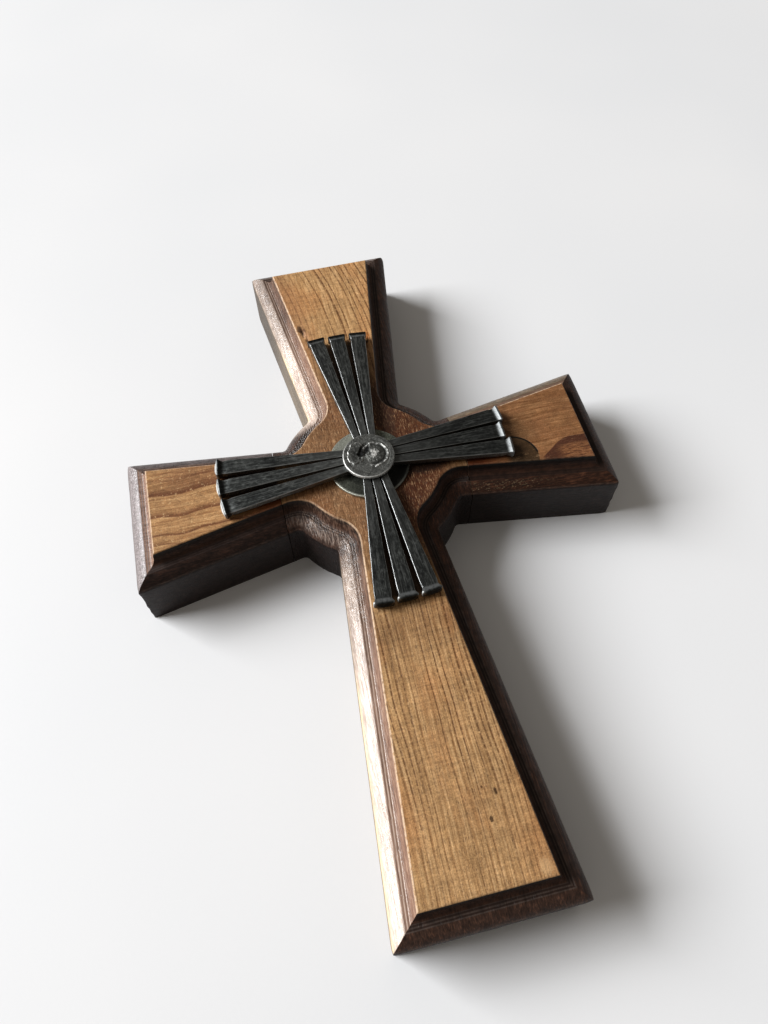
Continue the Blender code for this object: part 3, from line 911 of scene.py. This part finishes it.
def right_arm_wood(name):
    """Smooth orange-brown wood with a dark lens of heartwood and a short curved crack by the nails."""
    finish = Finish(name)
    place = finish.place()
    x, y, z, bent, streak, fine = arm_streaks(finish, place)
    colour = finish.ramp(streak, (0.30, (102, 65, 38)), (0.5, (128, 88, 55)), (0.70, (160, 117, 79)))
    slow = finish.noise(place, (0.05, 0.16, 0.16))
    colour = finish.mix(slow.step(0.40, 0.62, 0.0, 0.5), colour, (126, 84, 54))
    under = x.step(75.0, 97.0, -18.0, -8.6) - bent
    lens = under.step(-0.25, 0.3) * x.step(79.0, 82.0)
    lit = bent.step(-11.8, -14.8) * x.step(86.0, 93.0) * fine.step(0.38, 0.62, 0.0, 1.0)
    colour = finish.mix(lens * 0.92, colour, finish.mix(lit, (66, 36, 26), (140, 94, 60)))
    ring = finish.distance(x - PATCH_PLACE[0], y - PATCH_PLACE[1])
    patch = ring.step(PATCH_RADIUS, PATCH_RADIUS + 0.6, 1.0, 0.0) * x.step(62.0, 66.0)
    colour = finish.mix(patch * 0.92, colour, (50, 37, 22))
    # Painted shadow of the right fan's heads on the wood beside them
    head_shadow = x.step(86.0, 72.0) * y.step(-9.0, -3.0) * y.step(13.0, 3.0)
    colour = finish.mix(head_shadow * 0.65, colour, (72, 52, 32))
    tan = fine.step(0.58, 0.70) * slow.step(0.36, 0.56) * 0.45
    colour = finish.mix(tan, colour, (206, 164, 122))
    crack = ring.near(PATCH_RADIUS + 0.3, 0.7) * y.step(-15.0, -12.5) * x.step(67.5, 69.5)
    crack = finish.math("MINIMUM", crack * 1.6, 1.0)
    colour = finish.mix(crack, colour, (12, 12, 7))
    colour = fan_shade_and_dirt(finish, colour, y, x, (66.0,), (26, 17, 12))
    holes = pores(finish, bent, x, 4.0)
    colour = finish.mix(holes * 0.4, colour, (96, 60, 36))
    colour = finish.mix(x.step(72.0, 50.0), colour, NEAR_HUB_TINT, "MULTIPLY")
    colour = weather(finish, colour, place)
    # Painted glints: tan sparkles on the lower moulding, added to the painted light
    dash = finish.noise(finish.join(x * 0.9, y * 2.6, z * 1.6), 1.0, 3.0, 0.6)
    glint = dash.step(0.58, 0.64) * x.step(90.0, 70.0) * y.step(-10.0, -16.0)
    inset = finish.attribute("inset")
    glint = glint * (inset.step(0.8, 1.6) * inset.step(5.3, 4.4))
    # Paler tones painted as light toward the window, and the painted glints
    painted_light_and_wear = finish.math("MAXIMUM", finish.attribute("window_side").step(0.0, 0.9, 0.0, 1.0), glint)
    paler = ((66, 54, 41), (104, 88, 68), (160, 138, 110), (80, 66, 50))
    return finish_board(finish, place, streak, fine, colour, holes * 0.5 + crack, painted_light_and_wear, paler)


# Nails

NAIL_CORNER_RADIUS = 0.5 * MM
HEAD_FLARE_START = 4.2 * MM
HEAD_CREST = 1.1 * MM
HEAD_DOME = 0.7 * MM
NECK_DIP = 0.22 * MM
NECK_REACH = 1.6 * MM
# Bands on the heads of each fan, rubbed metal partly painted as highlight: strength, and middle and half
# width back from the end
HEAD_WEAR_AND_HIGHLIGHT = {
    "top": (0.8, 3.0 * MM, 0.35 * MM),
    "right": (0.85, 2.2 * MM, 1.5 * MM),
    "bottom": (0.85, 2.7 * MM, 1.0 * MM),
    "left": (1.0, 0.35 * MM, 1.0 * MM),
}
# Painted shade toward each fan's head ends, in the same terms
HEAD_PAINTED_SHADE = {
    "top": (0.9, 1.4 * MM, 1.2 * MM),
    "right": (0.7, 0.0, 0.6 * MM),
    "bottom": (0.92, 0.2 * MM, 1.2 * MM),
    "left": (0.85, 2.7 * MM, 1.1 * MM),
}
# Painted shade all along each fan's nails
FAN_PAINTED_SHADE = {"top": 0.0, "right": 0.35, "bottom": 0.15, "left": 0.0}

# Bright left corners of the bottom heads, painted as glints: shares of the half width, then back from the
# end
GLINT_START = 0.5
GLINT_FADE = 0.35
GLINT_MIDDLE = 1.6 * MM
GLINT_HALF = 0.9 * MM


def section_shares():
    """A rounded rectangle as shares of its straight halves and of its corner radius.

    Each point is shares_a * (half - radius) + shares_b * radius: corners take
    quarter circles, and the flats between them are evenly divided.
    """
    turn = np.linspace(0, QUARTER, 5)
    a, b = [], []
    for quarter, (sx, sz) in enumerate(((1, 1), (-1, 1), (-1, -1), (1, -1))):
        angle = turn + quarter * QUARTER
        a.append(np.full((5, 2), (sx, sz)))
        b.append(np.stack([np.cos(angle), np.sin(angle)], -1))
        if quarter % 2 == 0:
            flat = np.linspace(1, -1, 9)[1:-1]
            a.append(np.stack([sx * flat, np.full_like(flat, sz)], -1))
            b.append(np.tile((0.0, sz), (len(flat), 1)))
        else:
            flat = np.linspace(1, -1, 5)[1:-1]
            a.append(np.stack([np.full_like(flat, sx), sz * flat], -1))
            b.append(np.tile((sx, 0.0), (len(flat), 1)))
    return np.concatenate(a), np.concatenate(b)


def measure_nail(node):
    """The plain nail's tip, length and axes, and its half width and thickness at its stations."""
    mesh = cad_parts[node].data
    points = np.empty(len(mesh.vertices) * 3, np.float32)
    mesh.vertices.foreach_get("co", points)
    points = np.unique(np.round(points.reshape(-1, 3).astype(float), 5), axis=0)
    middle = points.mean(axis=0)
    axis = np.linalg.svd(points - middle, full_matrices=False)[2][0]
    axis *= np.sign(axis @ middle)
    close = 0.3 * MM
    along = points @ axis
    tip_ring = points[along < along.min() + close]
    head_ring = points[along > along.max() - close / 2]
    tip = (tip_ring.min(axis=0) + tip_ring.max(axis=0)) / 2
    head = (head_ring.min(axis=0) + head_ring.max(axis=0)) / 2
    length = np.linalg.norm(head - tip)
    axis = (head - tip) / length
    side = np.cross(UP, axis)
    side /= np.linalg.norm(side)
    above = np.cross(axis, side)
    local = (points - tip) @ np.stack([axis, side, above], axis=-1)
    stations = np.unique(np.round(local[:, 0], 4))
    near = np.abs(local[:, 0][None] - stations[:, None]) < close / 2
    half_width = np.where(near, np.abs(local[:, 1])[None], 0).max(axis=1)
    half_thickness = np.where(near, np.abs(local[:, 2])[None], 0).max(axis=1)
    return tip, length, (axis, side, above), stations, half_width, half_thickness


def nail(name, node, seed):
    """A cut nail: a rounded rectangle carried along the node's axis.

    Its halves follow the plain nail's, dip a little at the neck by a bell, and the head
    opens out as the 1.8th power of the way from the neck to the crest, then rolls over
    by a quarter circle into an end that bulges as a parabola.
    """
    tip, length, axes, stations, wide, thick = measure_nail(node)
    neck = length - HEAD_FLARE_START
    crest = length - HEAD_CREST - HEAD_DOME
    shank = np.linspace(0.1 * MM, neck, 84)
    flare = np.linspace(neck, crest, 16)[1:]
    roll = np.linspace(0, QUARTER, 7)[1:]
    places = np.concatenate([shank, flare, crest + HEAD_CREST * np.sin(roll)])
    rise = np.clip((places - neck) / (crest - neck), 0, 1) ** 1.8
    plain_end = stations[-4]
    shank_wide = np.interp(np.minimum(places, plain_end), stations, wide)
    shank_thick = np.interp(np.minimum(places, plain_end), stations, thick)
    half_wide = shank_wide + (wide.max() - shank_wide) * rise
    half_thick = shank_thick + (thick.max() - shank_thick) * rise
    bell = np.exp(-(((places - neck) / NECK_REACH) ** 2))
    rolled = HEAD_CREST * (1 - np.cos(np.concatenate([np.zeros(len(shank) + len(flare)), roll])))
    half_wide -= bell * NECK_DIP + rolled * 0.85
    half_thick -= bell * NECK_DIP + rolled
    a, b = section_shares()
    halves = np.stack([half_wide, half_thick], axis=-1)[:, None]
    radius = NAIL_CORNER_RADIUS * (0.8 + 0.5 * rise)[:, None, None]
    flat = a[None] * (halves - radius) + b[None] * radius
    rings = np.concatenate([np.broadcast_to(places[:, None, None], (*flat.shape[:2], 1)), flat], -1)
    normal = b / np.linalg.norm(b, axis=-1, keepdims=True)
    shift = np.array([seed * 31.7, seed * 17.3, seed * 5.1]) * MM
    hammer = smooth_noise(rings * (0.3, 1.0, 1.0) + shift, 1.9 * MM, 101)
    fine = smooth_noise(rings * (0.8, 1.0, 1.0) + shift, 0.6 * MM, 102)
    depth = 0.07 * MM * (hammer - 1) + 0.02 * MM * (fine - 1)
    rings[..., 1:] += normal[None] * depth[..., None]
    last = rings[-1]
    middle = last.mean(axis=0)
    shares = np.array([0.85, 0.6, 0.3, 0.08])[:, None, None]
    end_cap = middle + (last - middle) * shares
    end_cap[..., 0] += HEAD_DOME * (1 - shares[..., 0] ** 2)
    tip_middle = rings[0].mean(axis=0)
    start_cap = tip_middle + (rings[0] - tip_middle) * np.array([0.1, 0.8])[:, None, None]
    rings = np.concatenate([start_cap, rings, end_cap])
    caps = ((len(start_cap), len(end_cap)), (0, 0))
    edge = np.pad(np.broadcast_to(2 * np.abs(b[:, 0] * b[:, 1]), hammer.shape), caps)
    side = np.pad(np.broadcast_to(np.abs(normal[:, 0]) > 0.9, hammer.shape).astype(float), caps)
    from_end = length - rings[..., 0]
    fan = node.split("_")[1]
    # Head bands of rubbed metal partly painted as highlight, painted shade toward the ends, and painted
    # shade along the right and bottom fans
    bands = []
    for kind in (HEAD_WEAR_AND_HIGHLIGHT, HEAD_PAINTED_SHADE):
        strength, band_middle, band_half = kind[fan]
        bands.append(strength * np.exp(-(((from_end - band_middle) / band_half) ** 4)))
    head, painted_shade = bands
    painted_shade = np.maximum(painted_shade, FAN_PAINTED_SHADE[fan] * (1 - head))
    # Painted glints on the bottom heads' corners toward the window
    if fan == "bottom":
        to_window = np.clip((-rings[..., 1] / wide.max() - GLINT_START) / GLINT_FADE, 0, 1)
        glint = to_window * np.exp(-(((from_end - GLINT_MIDDLE) / GLINT_HALF) ** 4))
        head, painted_shade = np.maximum(head, glint), painted_shade * (1 - glint)
    run = rings / MM + shift / MM
    world = tip + rings @ np.stack(axes)
    values = {"run": run, "edge": edge, "side": side, "head": head, "painted_shade": painted_shade}
    return skin(name, world, values, sharp=50.0)


def black_steel(name):
    """Black-oxide steel: a fine blotchy skin, brown speckled sides, rubbed edges, head bands of rubbed metal
    partly painted as highlight with painted glints, and painted shade.
    """
    finish = Finish(name)
    run = finish.attribute("run", "Vector")
    blotch = finish.noise(run, (0.45, 0.9, 0.9), detail=5.0, roughness=0.7)
    cloud = finish.noise(finish.stretch(run, 0.25, 0.5, 0.5), 0.5, detail=4.0, roughness=0.6)
    fine = finish.noise(run, 3.5, detail=3.0, roughness=0.7)
    colour = finish.ramp(blotch, (0.32, (44, 46, 46)), (0.52, (72, 75, 74)), (0.74, (120, 123, 121)))
    colour = finish.mix(cloud.step(0.44, 0.64, 0.0, 0.6), colour, (48, 50, 51))
    drawn = finish.noise(run, (0.10, 1.5, 1.5), detail=3.0)
    colour = finish.mix(drawn.step(0.52, 0.66, 0.0, 0.5), colour, (128, 131, 130))
    colour = finish.mix(drawn.step(0.46, 0.34, 0.0, 0.55), colour, (28, 29, 30))
    x, y, _ = finish.split(finish.place())
    from_hub = finish.distance(x, y)
    colour = finish.mix(from_hub.step(46.0, 16.0, 0.0, 0.3), colour, (126, 128, 126))
    speck = fine.step(0.66, 0.74)
    colour = finish.mix(speck * 0.5, colour, (170, 172, 166))
    sheared = finish.attribute("side") * fine.step(0.45, 0.62)
    colour = finish.mix(sheared * 0.7, colour, (150, 140, 126))
    slow = finish.noise(run, (0.12, 0.5, 0.5), detail=3.0)
    rub_edge = finish.attribute("edge") * slow.step(0.34, 0.54, 0.3, 0.75)
    # Head bands of rubbed metal, partly painted highlight; the brightest tone is a painted glint
    head_wear_and_highlight = finish.attribute("head") * blotch.step(0.34, 0.52, 0.55, 1.0)
    colour = finish.mix(rub_edge, colour, (186, 188, 188))
    head_tone_and_glint = finish.mix(finish.attribute("head").step(0.92, 1.0), (132, 135, 136), (216, 218, 216))
    colour = finish.mix(head_wear_and_highlight, colour, head_tone_and_glint)
    # Painted shade at the head ends and along the right and bottom fans
    colour = finish.mix(finish.attribute("painted_shade"), colour, (16, 17, 17))
    rough = blotch.step(0.3, 0.8, 0.34, 0.46) + finish.attribute("head") * 0.12
    # Less metallic at the painted glints, so that they show bright
    metal = finish.attribute("head").step(0.88, 1.0, 0.9, 0.3)
    finish.surface(Base_Color=colour, Metallic=metal, Roughness=rough)
    height = blotch + fine * 0.35
    finish.surface(Normal=finish.bump(height, 0.00010, 0.7))
    return finish.material


def make_nails():
    material = black_steel("black_steel")
    for seed, node in enumerate(sorted(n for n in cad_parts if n.startswith("nail_"))):
        piece = nail(node.replace("nail", "cut_nail"), node, seed)
        dress(piece, node, material)


# Discs

def lathe(radii, heights, around):
    """Points on a grid of circles: one ring for each radius and height of the profile."""
    angle = np.arange(around) / around * 2 * np.pi
    circle = np.stack([np.cos(angle), np.sin(angle)], -1)
    flat = np.asarray(radii)[:, None, None] * circle[None]
    tall = np.broadcast_to(np.asarray(heights)[:, None, None], (len(radii), around, 1))
    return np.concatenate([flat, tall], axis=-1)


def disc_profile(radius, thickness, edge, steps):
    """Outwards under the disc, round its edge by a quarter circle twice, and back in on top."""
    turn = np.linspace(-QUARTER, QUARTER, 13)
    rim_r = radius - edge + edge * np.cos(turn)
    rim_z = thickness / 2 + (thickness / 2 - edge) * np.sign(turn) + edge * np.sin(turn)
    under = np.linspace(0.05, 1, 5)[:-1] * (radius - edge)
    over = np.linspace(1, 0.0, steps + 1)[1:-1] * (radius - edge)
    radii = np.concatenate([under, rim_r, over])
    heights = np.concatenate([np.zeros(len(under)), rim_z, np.full(len(over), thickness)])
    return radii, heights


def cast_steel(name, low, middle, high, painted_highlight):
    """Dark cast metal with an even grain, darkened by painted shade in its hollows, under the nails and
    toward the lower right, and bright with painted highlights on its rim and raised forms.
    """
    finish = Finish(name)
    place = finish.attribute("run", "Vector")
    grain = finish.noise(place, 1.8, detail=5.0, roughness=0.75)
    cloud = finish.noise(place, 0.4, detail=3.0)
    colour = finish.ramp(grain, (0.32, low), (0.52, middle), (0.72, high))
    colour = finish.mix(cloud.step(0.42, 0.66, 0.0, 0.6), colour, low)
    colour = finish.mix(finish.attribute("painted_shade"), colour, (12, 12, 12))
    bright = finish.attribute("painted_highlight") * grain.step(0.3, 0.5, 0.5, 1.0)
    colour = finish.mix(bright, colour, painted_highlight)
    finish.surface(Base_Color=colour, Metallic=0.85, Roughness=grain.step(0.3, 0.7, 0.42, 0.60))
    finish.surface(Normal=finish.bump(grain, 0.00016, 0.8))
    return finish.material


def rim_highlight(rings, radius):
    """A painted highlight along a disc's edge, its reflection of the floor, strongest at the lower left: a
    bell of the distance from it.
    """
    x, y = rings[..., 0], rings[..., 1]
    away = np.hypot(x, y)
    lower_left = np.clip(-(x + y) / (away * math.sqrt(2) + 1e-9), -0.2, 1)
    return np.exp(-(((away - radius + 0.15 * MM) / (0.32 * MM)) ** 2)) * (0.25 + 0.65 * lower_left)


def make_backing():
    low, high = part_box("backing_disc")
    centre = np.array([(low.x + high.x) / 2, (low.y + high.y) / 2, low.z])
    radius = (high.x - low.x) / 2
    radii, heights = disc_profile(radius, high.z - low.z, 0.35 * MM, 24)
    rings = lathe(radii, heights, 160)
    dents = smooth_noise(rings, 2.4 * MM, 5)
    rings[..., 2] += np.where(heights[:, None] > 0.9 * heights.max(), 0.03 * MM * (dents - 1), 0)
    away = np.hypot(rings[..., 0], rings[..., 1])
    # Painted shade under the nails and toward the lower right; painted light toward the upper left, and the
    # rim's painted highlight
    under_nails = 0.65 * np.clip((16.0 * MM - away) / (3.0 * MM), 0, 1)
    slope = (rings[..., 0] - rings[..., 1]) / radius
    lower_right = np.clip(0.35 + slope - 0.5 * rings[..., 0] / radius, 0, 1)
    in_shade = 0.6 * lower_right + 0.34 * np.clip(3 * slope - 2.1, 0, 1)
    lit = 0.42 * np.clip(-1.5 * slope - 0.5, 0, 1)
    painted_highlight = np.maximum(rim_highlight(rings, radius), lit)
    values = {"run": rings / MM, "painted_highlight": painted_highlight, "painted_shade": np.maximum(under_nails, in_shade)}
    piece = skin("cast_backing", rings + centre, values)
    material = cast_steel("backing_steel", (58, 61, 53), (92, 95, 85), (142, 144, 130), (200, 202, 190))
    dress(piece, "backing_disc", material)


MEDALLION_RIM_DROP = 0.4 * MM


def make_medallion():
    """A small cast disc: a flat rim, a raised patch at the left, a pebbled lump, and a pit between them
    painted dark as shade.

    Each form is a clipped slope of an ellipse whose outline is made ragged by noise; a thin
    ridge, a bell of the distance from a circle, runs part of the way round the lump.
    """
    low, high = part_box("medallion")
    centre = np.array([(low.x + high.x) / 2, (low.y + high.y) / 2, low.z])
    radius = (high.x - low.x) / 2
    thickness = high.z - low.z
    radii, heights = disc_profile(radius, thickness - MEDALLION_RIM_DROP, 0.45 * MM, 90)
    rings = lathe(radii, heights, 260)
    x, y = rings[..., 0] / MM, rings[..., 1] / MM
    away = np.hypot(x, y)
    ragged = smooth_noise(rings, 1.3 * MM, 7)
    pebble = smooth_noise(rings, 0.9 * MM, 8)
    grit = smooth_noise(rings, 0.45 * MM, 9)

    def form(middle_x, middle_y, half_x, half_y, slope, rough, turn=0.0):
        off_x, off_y = x - middle_x, y - middle_y
        along = off_x * math.cos(turn) + off_y * math.sin(turn)
        across = off_y * math.cos(turn) - off_x * math.sin(turn)
        gap = np.hypot(along / half_x, across / half_y)
        return np.clip((1 - gap + rough * ragged) / slope, 0, 1)

    dish = -0.12 * np.clip((10.2 - away) / 0.5, 0, 1)
    patch = form(-5.6, 2.2, 4.0, 6.4, 0.09, 0.14, -0.25)
    hollow = form(-5.2, 2.0, 2.9, 5.0, 0.5, 0.2, -0.25)
    plateau = 0.42 * patch - 0.20 * hollow * (1 + 0.6 * pebble)
    lump_form = form(2.6, 0.4, 4.6, 4.9, 0.65, 0.14, 0.3)
    lump = lump_form * (0.56 + 0.20 * pebble + 0.11 * grit)
    pit = form(-1.6, 3.2, 2.4, 4.9, 0.30, 0.22, -0.62)
    moat = np.exp(-(((np.hypot(x - 2.6, y - 0.4) - 5.3) / 0.6) ** 2)) * np.clip(x / 3, 0, 1)
    ring = np.hypot(x - 2.9, y - 0.2)
    arc_share = np.clip((x + 0.6 + 0.5 * y.clip(0, None)) / 2.0, 0, 1)
    ridge = np.exp(-(((ring - 6.3 - 0.45 * ragged) / 0.40) ** 2)) * arc_share
    squiggle = form(2.8, -6.4, 2.0, 0.7, 0.3, 0.4, 0.4)
    relief = dish + np.maximum.reduce([plateau, lump, 0.32 * ridge, 0.35 * squiggle])
    relief += -0.8 * pit - 0.22 * moat + 0.03 * pebble + 0.02 * grit
    on_top = (heights > 0.9 * heights.max())[:, None] & (away < radius / MM - 0.5)
    rings[..., 2] += np.where(on_top, np.minimum(relief * MM, MEDALLION_RIM_DROP), 0)
    # Painted highlights on the raised patch's upper-left edge, the lump, the ridge and the squiggle; painted
    # shade in the pit, the hollow and the moat
    upper_left = np.clip(1.2 - (x + 2.0).clip(0, None) / 1.5, 0, 1) * np.clip((y + 3.5) / 2, 0, 1)
    outline = patch * (1 - patch) * 4 * upper_left
    high_spots = np.clip(7.5 * lump - 3.6, 0, 1) * np.clip(1.5 - np.hypot(x - 1.5, y - 0.3) / 4.2, 0, 1)
    bright_ridge = ridge * np.clip(0.45 + 0.8 * pebble, 0, 1)
    painted_highlight = np.clip(0.9 * outline + high_spots + bright_ridge + 0.9 * squiggle, 0, 1)
    painted_highlight = np.where(on_top, painted_highlight * (0.75 + 0.5 * grit), 0.0) + rim_highlight(rings, radius)
    painted_shade = np.where(on_top, np.clip(0.95 * pit + 0.5 * hollow * (0.6 - pebble) + 0.7 * moat, 0, 0.95), 0.0)
    values = {"run": rings / MM, "painted_highlight": np.clip(painted_highlight, 0, 1), "painted_shade": painted_shade}
    piece = skin("hammered_medallion", rings + centre, values)
    material = cast_steel("medallion_steel", (60, 61, 59), (98, 99, 96), (158, 158, 152), (240, 240, 236))
    dress(piece, "medallion", material)


make_camera()
make_floor()
make_light()
make_boards()
make_nails()
make_backing()
make_medallion()
